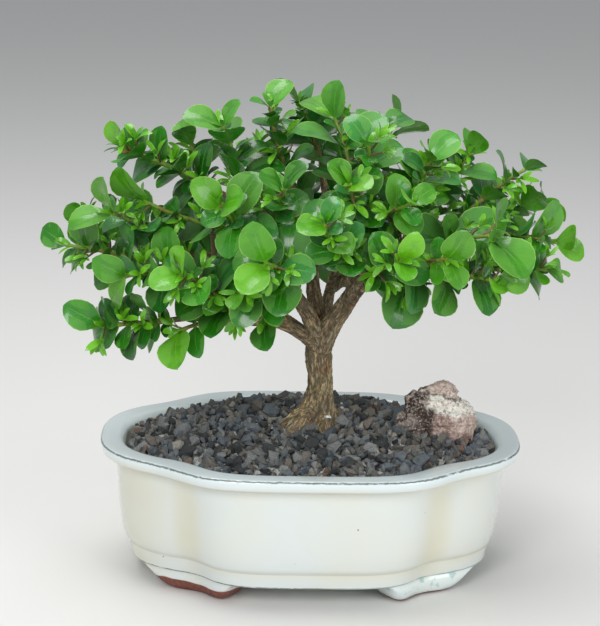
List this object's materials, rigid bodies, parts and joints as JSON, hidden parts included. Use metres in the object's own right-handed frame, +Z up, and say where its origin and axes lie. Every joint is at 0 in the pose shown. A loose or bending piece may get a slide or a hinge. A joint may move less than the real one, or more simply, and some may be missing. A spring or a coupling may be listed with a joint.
{
  "type": "natal plum bonsai tree in a lobed ceramic pot",
  "caption": "Small natal plum bonsai with a slim flared trunk and a wide leafy crown, in a lobed, footed cream ceramic pot with lava gravel and an accent rock.",
  "frame": {"origin": "on the table, under the middle of the tree's and pot's outer size", "axes": "+X along the pot's long side to the right as the tree is seen from the front, +Y to the back, +Z up"},
  "size_m": [0.2563, 0.1658, 0.2405],
  "materials": {
    "glaze": "glossy cream glaze over red-brown clay, bare on the soles of the feet",
    "screen": "matte black moulded mesh",
    "soil": "matte dark potting mix",
    "gravel": "matte broken lava, grey-brown with a few reddish and pale grains",
    "rock": "matte broken rock, pinkish tan with dark brown faces and cracks",
    "bark": "matte grey-brown ridged bark with a green tinge",
    "leaf": "waxy mid-green leaf with a pale midrib, satin to glossy"
  },
  "bodies": {
    "root": {"pot": "glaze", "drain_screen_left": "screen", "drain_screen_right": "screen", "soil": "soil", "gravel": "gravel", "rock": "rock", "trunk": "bark", "spray_left_tip": "leaf", "spray_low_left": "leaf", "spray_low_hang": "leaf", "spray_mid_left": "leaf", "spray_left_light": "leaf", "spray_upper_left": "leaf", "spray_upper_left_in": "leaf", "spray_left_back": "leaf", "spray_front_left": "leaf", "spray_branch": "leaf", "spray_front_trio": "leaf", "spray_front_low": "leaf", "spray_centre_left": "leaf", "spray_centre_high": "leaf", "spray_centre_front": "leaf", "spray_centre": "leaf", "spray_centre_low": "leaf", "spray_centre_right": "leaf", "spray_top_left": "leaf", "spray_top": "leaf", "spray_top_back": "leaf", "spray_top_right": "leaf", "spray_crest_right": "leaf", "spray_upper_front": "leaf", "spray_upper_right": "leaf", "spray_shoulder": "leaf", "spray_back_crest": "leaf", "spray_right_high": "leaf", "spray_right_back": "leaf", "spray_right_disc": "leaf", "spray_right_tip": "leaf", "spray_right_low": "leaf", "spray_right_front": "leaf", "spray_right_hang": "leaf", "spray_right_droop": "leaf", "spray_back_middle": "leaf", "spray_back_low_left": "leaf", "spray_back_right_tip": "leaf", "spray_back_right": "leaf", "spray_back_left_tip": "leaf", "spray_back_left": "leaf", "spray_back_top_right": "leaf", "spray_back_top_left": "leaf", "spray_back_shoulder": "leaf", "spray_back_low_right": "leaf", "spray_back_high": "leaf"}
  },
  "joints": []
}
